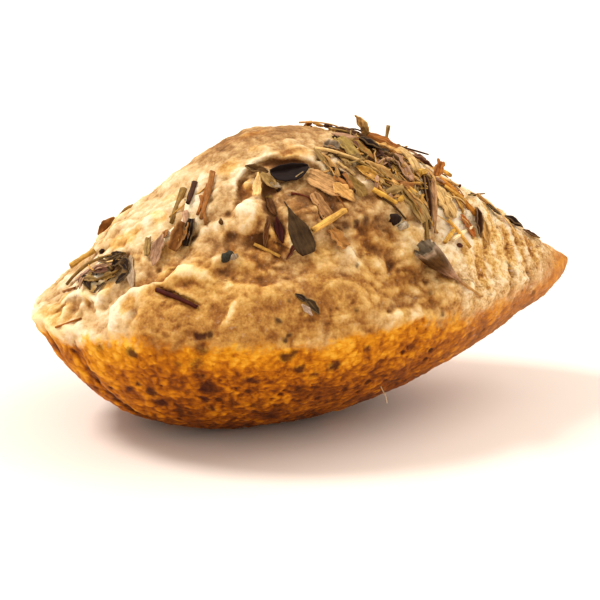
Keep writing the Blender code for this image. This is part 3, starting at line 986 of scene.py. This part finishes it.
# Leaf flakes that stand out, from the fan end to the hinge end.
LEAVES = (
    Leaf((-17.9, -3.4), (-16.9, -4.2), 0.9, BLACK_OLIVE, (0.35, 0.35), cup=0.8),
    Leaf((-17.1, -3.7), (-16.9, -5.4), 0.8, BLACK_OLIVE, (0.35, 0.35), cup=0.6),
    Leaf((-17.0, -5.3), (-18.0, -5.3), 0.7, BLACK_OLIVE, (0.3, 0.3), cup=0.5),
    Leaf((-16.4, -4.2), (-16.9, -6.6), 0.8, "b09a80", (0.2, 0.2), cup=0.5),
    Leaf((-18.1, -2.1), (-16.9, -3.2), 0.55, BLACK_OLIVE, (0.35, 0.35)),
    Leaf((-19.9, -1.9), (-17.7, -3.4), 0.6, MAUVE, (0.25, 0.3)),
    Leaf((-20.6, -1.2), (-19.4, -2.2), 0.45, "a88474", (0.2, 0.25)),
    Leaf((-19.5, -2.4), (-18.3, -3.6), 0.9, PLUM, twist=0.5),
    Leaf((-19.0, -3.9), (-17.8, -4.4), 0.7, OLIVE),
    Leaf((-20.4, -2.8), (-19.2, -3.9), 0.6, GREY_GREEN),
    Leaf((-17.4, 3.2), (-15.9, 3.4), 1.0, BROWN, (0.6, 0.5), cup=0.5, tilt=-0.9),
    Leaf((-14.9, -4.3), (-15.4, -5.8), 0.6, GREY_GREEN, (0.35, 0.35), blunt=(0.5, 0.4)),
    Leaf((-13.8, -5.3), (-15.1, -6.6), 1.1, MAUVE, (0.5, 0.3), cup=0.4),
    Leaf((-12.1, -5.6), (-13.3, -6.7), 1.2, BROWN, (0.3, 0.25), cup=1.2, blunt=(0.4, 0.4)),
    Leaf((-11.5, -5.6), (-12.4, -6.9), 0.8, BLACK_OLIVE, (0.3, 0.2), cup=0.5, blunt=(0.4, 0.4)),
    Leaf((-13.4, -4.6), (-13.9, -5.6), 0.5, BROWN),
    Leaf(
        (-4.7, -5.2), (-1.6, -5.3), 3.2, "1c0f0a", (0.45, 0.45), 0.3, widest=0.42, blunt=(0.2, 0.08), tilt=0.1,
        lopsided=0.88, ragged=0.1,
    ),
    Leaf((-6.7, -4.3), (-4.9, -5.1), 0.9, DARK_OLIVE, (0.3, 0.35), twist=0.5),
    Leaf((-5.6, -5.0), (-4.6, -6.6), 0.8, GREY_GREEN, (0.4, 0.3)),
    Leaf((-5.8, -5.2), (-6.5, -7.3), 0.7, PALE_STRAW, (0.45, 0.3), cup=0.2, widest=0.85, blunt=(0.0, 0.7)),
    Leaf((-4.9, -5.8), (-4.3, -7.0), 0.5, SLATE, (0.4, 0.35)),
    Leaf((-5.6, -6.8), (-5.2, -8.4), 0.75, "5e3a18", (0.1, 0.1), 0.4, ragged=0.6),
    Leaf((-5.2, -8.5), (-5.0, -9.9), 0.65, "3a120c", (0.12, 0.12), 0.5, ragged=0.6),
    Leaf((-4.9, -10.6), (-3.8, -10.4), 0.4, "4a1a0c", (0.12, 0.12)),
    Leaf((-6.0, -8.7), (-6.5, -9.6), 0.4, "5a3416", (0.1, 0.1)),
    Leaf(
        (-4.3, -8.0), (-3.1, -10.9), 1.85, "4c3820", (0.2, 0.3), 0.1, widest=0.74, blunt=(0.12, 0.35), waist=3.0,
        ragged=0.15,
    ),
    Leaf((-0.9, -9.6), (0.1, -10.7), 1.1, "a8763c", (0.3, 0.25), blunt=(0.5, 0.4)),
    Leaf((-1.7, -5.9), (0.9, -7.2), 1.9, "bc925f", (0.1, 0.1), 0.2, blunt=(0.5, 0.4), ragged=0.35),
    Leaf((-1.9, -7.7), (-0.7, -9.0), 1.2, "b88a58", (0.08, 0.08), 0.3, blunt=(0.3, 0.5), ragged=0.35),
    Leaf((0.0, -5.6), (1.4, -6.3), 0.9, BLACK_OLIVE, (0.2, 0.2), cup=0.9),
    Leaf((1.6, -6.0), (2.6, -7.6), 1.2, OLIVE, (0.4, 0.25), cup=0.5, widest=0.7, blunt=(0.0, 0.5)),
    Leaf((0.2, -6.6), (1.6, -8.2), 1.2, TAN, (0.3, 0.25), widest=0.4),
    Leaf((0.4, -2.9), (1.7, -3.4), 1.2, SLATE, (0.35, 0.4), cup=0.9, blunt=(0.3, 0.5)),
    Leaf((1.9, -2.0), (2.9, -4.2), 1.1, "a08648", (0.5, 0.3), cup=0.6, blunt=(0.5, 0.2)),
    Leaf((2.4, -2.2), (4.7, -3.6), 0.8, OLIVE, (0.5, 0.35), cup=0.7),
    Leaf((0.9, -3.8), (2.4, -4.6), 0.9, DARK_BROWN, (0.2, 0.2)),
    Leaf((3.5, -1.8), (5.8, -2.0), 1.3, BLACK_OLIVE, (0.35, 0.35), cup=0.9),
    Leaf((2.0, -0.4), (4.7, -0.6), 1.4, DARK_BROWN, (0.45, 0.4), cup=-0.8, tilt=0.3),
    Leaf((5.0, 0.0), (3.6, 0.4), 1.3, TAN, (0.5, 1.7), cup=0.4, widest=0.35, blunt=(0.6, 0.0), tilt=0.9),
    Leaf((4.6, 0.3), (8.2, -0.1), 1.2, RUSTY, (0.5, 0.5), cup=-0.5, tilt=0.4),
    Leaf((5.2, -1.0), (7.8, -1.4), 1.1, TAN, (0.4, 0.45), twist=0.6),
    Leaf((5.4, -2.9), (6.8, -3.6), 1.2, DARK_OLIVE, (0.3, 0.3), cup=0.9, blunt=(0.3, 0.3)),
    Leaf((6.6, -2.4), (7.6, -4.6), 1.1, MAUVE, (0.35, 0.3), cup=0.7, blunt=(0.3, 0.2)),
    Leaf((4.9, -4.6), (7.9, -7.4), 2.0, GREY_GREEN, (0.4, 0.35), cup=0.3, widest=0.7, blunt=(0.1, 0.5)),
    Leaf((3.4, -4.4), (6.0, -5.4), 1.0, TAN, (0.35, 0.35), twist=0.7),
    Leaf((2.7, -4.8), (4.4, -6.4), 1.1, STRAW, (0.3, 0.3), cup=0.8, twist=-0.5),
    Leaf((8.9, -0.6), (10.7, -0.9), 1.1, PLUM, (0.4, 0.35), cup=0.8),
    Leaf((10.5, -2.5), (11.0, -0.8), 0.8, RUSTY, (0.3, 1.1), cup=0.6, blunt=(0.3, 0.6)),
    Leaf((9.0, -3.6), (8.4, -7.4), 0.6, DARK_BROWN, (0.35, 0.2), cup=1.6, widest=0.35, blunt=(0.3, 0.0)),
    Leaf((9.6, -3.6), (8.7, -7.6), 0.6, "b4885e", (0.55, 0.35), cup=0.4, widest=0.3, tilt=0.5),
    Leaf((9.9, -3.9), (11.0, -5.8), 1.5, PALE_STRAW, (0.3, 0.25), cup=0.3, widest=0.6, blunt=(0.2, 0.3)),
    Leaf((-4.9, -13.1), (-3.9, -13.6), 0.5, BLACK_OLIVE, (0.1, 0.1), cup=0.4, twist=0.6),
    Leaf((-4.1, -13.4), (-3.1, -14.0), 0.75, "3c2c18", (0.12, 0.12), cup=0.6, twist=-0.5),
    Leaf((-4.5, -13.7), (-3.7, -14.1), 0.45, "c0a898", (0.1, 0.12)),
    Leaf((11.9, -5.2), (12.9, -6.1), 1.1, "9a5418", (0.2, 0.15), cup=0.4, widest=0.7),
    Leaf((13.6, -3.9), (13.5, -5.8), 0.7, DARK_BROWN, (0.45, 0.25), cup=1.3, widest=0.3),
    Leaf((14.0, -4.2), (14.2, -5.8), 0.8, TAN, (0.4, 0.25), cup=0.5, tilt=0.5),
    Leaf((15.2, -2.6), (16.6, -2.2), 0.6, BLACK_OLIVE, (0.2, 0.3)),
    Leaf((16.9, -2.2), (18.8, -1.6), 0.8, BLACK_OLIVE, (0.25, 0.3), cup=0.9),
    Leaf((18.9, -1.7), (20.7, -1.0), 0.5, DARK_BROWN, (0.2, 0.2)),
)

# Stalks, twigs and needles that stand out, in the same order.
STALKS = (
    Stalk((-21.0, 0.0), (-16.6, -3.2), 0.32, OLIVE, (0.3, 0.35), 0.5),
    Stalk((-20.4, -0.9), (-17.0, -4.0), 0.24, PALE_STRAW, (0.25, 0.3), 0.25),
    Stalk((-18.4, 0.6), (-20.2, 0.9), 0.5, STRAW, (0.3, 0.7), 0.05, 1.3),
    Stalk((-23.0, -4.0), (-21.0, -5.1), 0.28, RUSTY, (0.1, 0.1)),
    Stalk((-21.5, -0.3), (-20.8, -2.0), 0.28, BROWN, (0.1, 0.15)),
    Stalk((-9.0, -2.8), (-10.9, -6.0), 0.5, BROWN, (0.35, 0.3), 0.1, 0.6),
    Stalk((-9.6, -3.4), (-11.1, -5.6), 0.3, RUSTY, (0.25, 0.25), 0.05),
    Stalk((-10.4, -2.4), (-11.6, -4.3), 0.45, DARK_BROWN, (0.3, 0.3), 0.05),
    Stalk((-15.5, -9.0), (-12.7, -11.5), 0.55, "4a180e", (0.12, 0.08), 0.05),
    Stalk((-1.25, -5.5), (-3.2, -6.5), 0.12, "b09468", (0.5, 0.45), -0.12, 0.7),
    Stalk((-7.3, -9.2), (-5.4, -10.3), 0.38, STRAW, (0.15, 0.15)),
    Stalk((-3.6, -7.4), (-1.5, -8.2), 0.36, "6a2c10", (0.12, 0.08), 0.16),
    Stalk((-2.5, -10.0), (0.6, -8.6), 0.72, "d2a450", (0.4, 0.4), 0.0, 0.95),
    Stalk((0.2, -7.4), (0.9, -8.6), 0.22, BROWN, (0.1, 0.1)),
    Stalk((-0.6, -4.0), (3.4, -4.7), 0.35, PALE_STRAW, (0.35, 0.35), 0.15),
    Stalk((1.2, -4.4), (4.2, -5.2), 0.3, OLIVE, (0.3, 0.35), 0.1),
    Stalk((3.6, -6.8), (5.4, -7.7), 0.65, YELLOW, (0.3, 0.25), 0.0, 0.8),
    Stalk((4.6, -6.2), (7.4, -7.2), 0.3, OLIVE, (0.35, 0.3), 0.1),
    Stalk((4.2, -7.4), (6.0, -8.2), 0.28, DARK_OLIVE, (0.25, 0.25), 0.1),
    Stalk((7.0, 0.6), (7.0, 0.9), 0.34, GREY_GREEN, (0.2, 1.7), 0.0, 1.3),
    Stalk((7.8, 0.4), (10.4, 0.4), 0.24, DARK_BROWN, (0.4, 0.95)),
    Stalk((8.0, -0.2), (8.4, -3.4), 0.85, PALE_STRAW, (0.45, 0.45), 0.2, 0.9),
    Stalk((8.4, -3.5), (9.1, -3.0), 0.95, YELLOW, (0.5, 0.55)),
    Stalk((10.6, -2.8), (13.6, -4.3), 0.75, "c4822c", (0.35, 0.2), 0.1, 0.8),
    Stalk((10.9, -3.4), (14.2, -4.2), 0.4, STRAW, (0.35, 0.3), 0.1),
    Stalk((13.2, -3.2), (15.2, -1.2), 0.2, OLIVE, (0.3, 0.6)),
    Stalk((8.1, -7.2), (8.0, -8.3), 0.35, OLIVE, (0.25, 0.2)),
    Stalk((9.5, -8.0), (11.0, -6.3), 0.4, YELLOW, (0.25, 0.3)),
    Stalk((10.3, -7.5), (12.7, -5.3), 0.5, "ead8ac", (0.3, 0.35)),
)

# The calyx: its mouth, its throat and the end of its stem, each with its lift.
CALYX = ((6.8, -9.7, 1.05), (9.6, -9.9, 0.3), (12.5, -9.3, 0.2))

# A pale fibre that hangs from the crust.
FIBRE = ((3.6, -9.2, 4.6), (3.7, -9.8, 4.2), (3.9, -10.2, 3.7), (4.0, -10.3, 3.1))

# Small dark or yellow lumps: place, size, colour.
GRAINS = (
    (-18.1, 0.0, 0.6, BLACK_OLIVE),
    (-14.4, -5.2, 0.4, DARK_BROWN),
    (-9.6, -7.4, 0.45, DARK_OLIVE),
    (-9.8, -9.7, 1.1, "36342a"),
    (-9.2, -10.0, 0.7, SLATE),
    (5.05, -8.6, 1.15, BLACK_OLIVE),
    (5.75, -8.7, 1.05, "a89c88"),
    (5.9, -7.3, 0.7, YELLOW),
    (9.3, -3.2, 0.7, YELLOW),
    (11.3, -7.1, 0.5, PLUM),
    (-1.3, -8.7, 0.5, BLACK_OLIVE),
)

# Where the rest of the herbs fell: middle, half length, half width, and the turn that most of them lie at, then how
# many leaves, stalks and grains, and which colours they take.
CLUSTERS = (
    (-18.6, -3.4, 1.9, 1.2, -40, 8, 7, 6, 0),
    (-11.8, -4.4, 1.8, 2.0, -110, 2, 3, 4, 1),
    (-5.2, -7.2, 0.9, 1.8, -60, 0, 0, 5, 0),
    (2.0, -4.8, 2.8, 2.0, -30, 14, 10, 8, 1),
    (4.6, -1.6, 2.8, 2.0, -30, 14, 8, 8, 0),
    (6.0, -4.6, 2.8, 2.6, -45, 26, 18, 12, 1),
    (9.0, -2.6, 2.2, 2.4, -45, 10, 8, 6, 1),
    (11.4, -4.2, 3.0, 2.6, -35, 5, 8, 8, 2),
    (14.2, -3.4, 3.6, 2.0, -20, 1, 2, 4, 2),
    (4.5, 3.4, 4.5, 3.0, -30, 18, 16, 16, 1),
    (-3.0, 8.4, 4.6, 2.2, 20, 8, 8, 8, 1),
    (-12.6, 10.6, 2.6, 1.2, 40, 4, 4, 5, 0),
    (12.0, 4.4, 4.0, 2.4, 20, 6, 8, 10, 2),
)
LEAF_COLOURS = (
    (DARK_OLIVE, DARK_OLIVE, BLACK_OLIVE, PLUM, DARK_BROWN, GREY_GREEN, MAUVE, OLIVE),
    (DARK_OLIVE, OLIVE, GREY_GREEN, MAUVE, BROWN, BROWN, TAN, TAN, TAN, STRAW, PALE_STRAW),
    (TAN, STRAW, PALE_STRAW, MAUVE, OLIVE, BROWN),
)
STALK_COLOURS = (
    (OLIVE, OLIVE, STRAW, DARK_BROWN, MAUVE, PLUM),
    (STRAW, STRAW, TAN, TAN, BROWN, OLIVE, DARK_OLIVE, DARK_BROWN),
    (PALE_STRAW, STRAW, STRAW, TAN, MAUVE),
)
GRAIN_COLOURS = (BLACK_OLIVE, DARK_BROWN, DARK_OLIVE, PLUM, OLIVE, BROWN)


def shade(code, draw, spread=0.16):
    """The colour, a little lighter or darker."""
    change = 1 + draw.uniform(-spread, spread)
    return [min(c * change, 1) for c in linear(code)[:3]] + [1.0]


def scatter(skin, draw, leaves, stalks, grains, cluster):
    """The small bits of one cluster, at random in its oval."""
    x, y, reach_x, reach_y, turn, leaf_count, stalk_count, grain_count, palette = cluster
    for kind, count in ((leaves, leaf_count), (stalks, stalk_count), (grains, grain_count)):
        for _ in range(count):
            round_it, reach = draw.uniform(0, 2 * math.pi), math.sqrt(draw.random())
            at = x + reach_x * reach * math.cos(round_it), y + reach_y * reach * math.sin(round_it)
            if kind is grains:
                place, normal = skin.below(*at)
                size = draw.uniform(0.15, 0.45)
                sizes = [size / 2 * draw.uniform(0.6, 1.5) for _ in range(3)]
                add_grain(grains, place + normal * size * 0.1, sizes, shade(draw.choice(GRAIN_COLOURS), draw), draw)
                continue
            heading = math.radians(turn + draw.gauss(0, 48))
            length = draw.uniform(0.8, 2.2) if kind is leaves else draw.uniform(1.0, 3.4)
            half = length / 2 * math.cos(heading), length / 2 * math.sin(heading)
            start = at[0] - half[0], at[1] - half[1]
            end = at[0] + half[0], at[1] + half[1]
            lifts = draw.uniform(0.05, 0.4), draw.uniform(0.05, 0.5)
            if kind is leaves:
                leaf = Leaf(
                    start, end, length * draw.uniform(0.22, 0.5), draw.choice(LEAF_COLOURS[palette]), lifts,
                    draw.uniform(-0.7, 1.3), draw.uniform(-0.03, 0.06), draw.uniform(0.3, 0.7),
                    (draw.choice((0, 0, 0.3, 0.6)), draw.choice((0, 0, 0.3, 0.6))),
                    draw.uniform(-0.5, 0.5), draw.uniform(-0.9, 0.9),
                )
                lay_leaf(leaves, skin, leaf, shade(leaf.colour, draw), draw, 9, 5)
            else:
                width = 0.15 + 0.4 * draw.random() ** 2
                bow, taper = draw.uniform(-0.2, 0.2), draw.uniform(0.4, 1.0)
                stalk = Stalk(start, end, width, draw.choice(STALK_COLOURS[palette]), lifts, bow, taper)
                lay_stick(stalks, skin, stalk, shade(stalk.colour, draw), 7, 6)


def herbs(skin):
    draw = random.Random(11)
    leaves = Pieces("herb_leaves", herb_material("dried_leaf", 0.75, 0.12))
    stalks = Pieces("herb_stalks", herb_material("dried_stalk", 0.6, 0.0))
    grains = Pieces("herb_grains", herb_material("dried_bud", 0.75, 0.0))
    for leaf in LEAVES:
        lay_leaf(leaves, skin, leaf, shade(leaf.colour, draw), draw)
    for stalk in STALKS:
        lay_stick(stalks, skin, stalk, shade(stalk.colour, draw))
    lay_calyx(leaves, skin)
    add_stick(stalks, FIBRE, (0.06, 0.05, 0.05, 0.03), linear("e6d0ac"), 6)
    for x, y, size, colour in GRAINS:
        place, normal = skin.below(x, y)
        sizes = [size / 2 * draw.uniform(0.8, 1.15) for _ in range(2)] + [size * 0.36]
        add_grain(grains, place + normal * size * 0.12, sizes, shade(colour, draw), draw)
    for cluster in CLUSTERS:
        scatter(skin, draw, leaves, stalks, grains, cluster)
    return [kind.finish() for kind in (leaves, stalks, grains)]


# ---------------------------------------------------------------- stage

AIM = Vector((-0.8, -0.2, 9.5)) * MM
CAMERA_AZIMUTH = math.radians(-15.8)
CAMERA_HEIGHT = math.radians(18.3)
CAMERA_DISTANCE = 260 * MM
CAMERA_LENS = 180.4


def aim_from(azimuth, height):
    """The way from the cake to something that looks at it."""
    return Vector((math.sin(azimuth) * math.cos(height), -math.cos(azimuth) * math.cos(height), math.sin(height)))


def add_camera():
    camera = bpy.data.objects.new("camera", bpy.data.cameras.new("camera"))
    bpy.context.scene.collection.objects.link(camera)
    back = aim_from(CAMERA_AZIMUTH, CAMERA_HEIGHT)
    camera.location = AIM + back * CAMERA_DISTANCE
    camera.rotation_mode = "QUATERNION"
    camera.rotation_quaternion = (-back).to_track_quat("-Z", "Y")
    camera.data.lens = CAMERA_LENS
    camera.data.clip_start = 0.01
    bpy.context.scene.camera = camera


def add_light(name, azimuth, height, distance, size, power, colour=(1, 1, 1)):
    light = bpy.data.lights.new(name, "AREA")
    light.size = size
    light.energy = power
    light.color = colour
    lamp = bpy.data.objects.new(name, light)
    bpy.context.scene.collection.objects.link(lamp)
    back = aim_from(math.radians(azimuth), math.radians(height))
    lamp.location = AIM + back * distance
    lamp.rotation_mode = "QUATERNION"
    lamp.rotation_quaternion = (-back).to_track_quat("-Z", "Y")


def add_stage():
    mesh = bpy.data.meshes.new("floor")
    reach = 3.0
    mesh.from_pydata([(-reach, -reach, 0), (reach, -reach, 0), (reach, reach, 0), (-reach, reach, 0)], [], [(0, 1, 2, 3)])
    m = Material("pale_floor")
    m.put(m.shader.inputs["Base Color"], "f3e6da")
    m.shader.inputs["Roughness"].default_value = 0.6
    mesh.materials.append(m.made)
    floor = bpy.data.objects.new("floor", mesh)
    bpy.context.scene.collection.objects.link(floor)
    world = bpy.data.worlds.new("studio")
    world.use_nodes = True
    background = world.node_tree.nodes["Background"]
    background.inputs["Color"].default_value = (1.0, 0.95, 0.89, 1)
    background.inputs["Strength"].default_value = 0.88
    bpy.context.scene.world = world
    add_light("key", -118, 55, 0.5, 0.14, 1.95, (1.0, 0.99, 0.98))
    add_light("fill", 96, 45, 0.6, 0.5, 2.0, (1.0, 0.98, 0.95))
    bpy.context.scene.view_settings.view_transform = "Standard"


mesh = skin_mesh()
mesh.materials.clear()
mesh.materials.append(sponge_material())
cake_skin = bpy.data.objects.new("cake_skin", mesh)
bpy.context.scene.collection.objects.link(cake_skin)
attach(cake_skin, "root")
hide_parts("cake")
herbs(Skin(mesh))
add_stage()
add_camera()
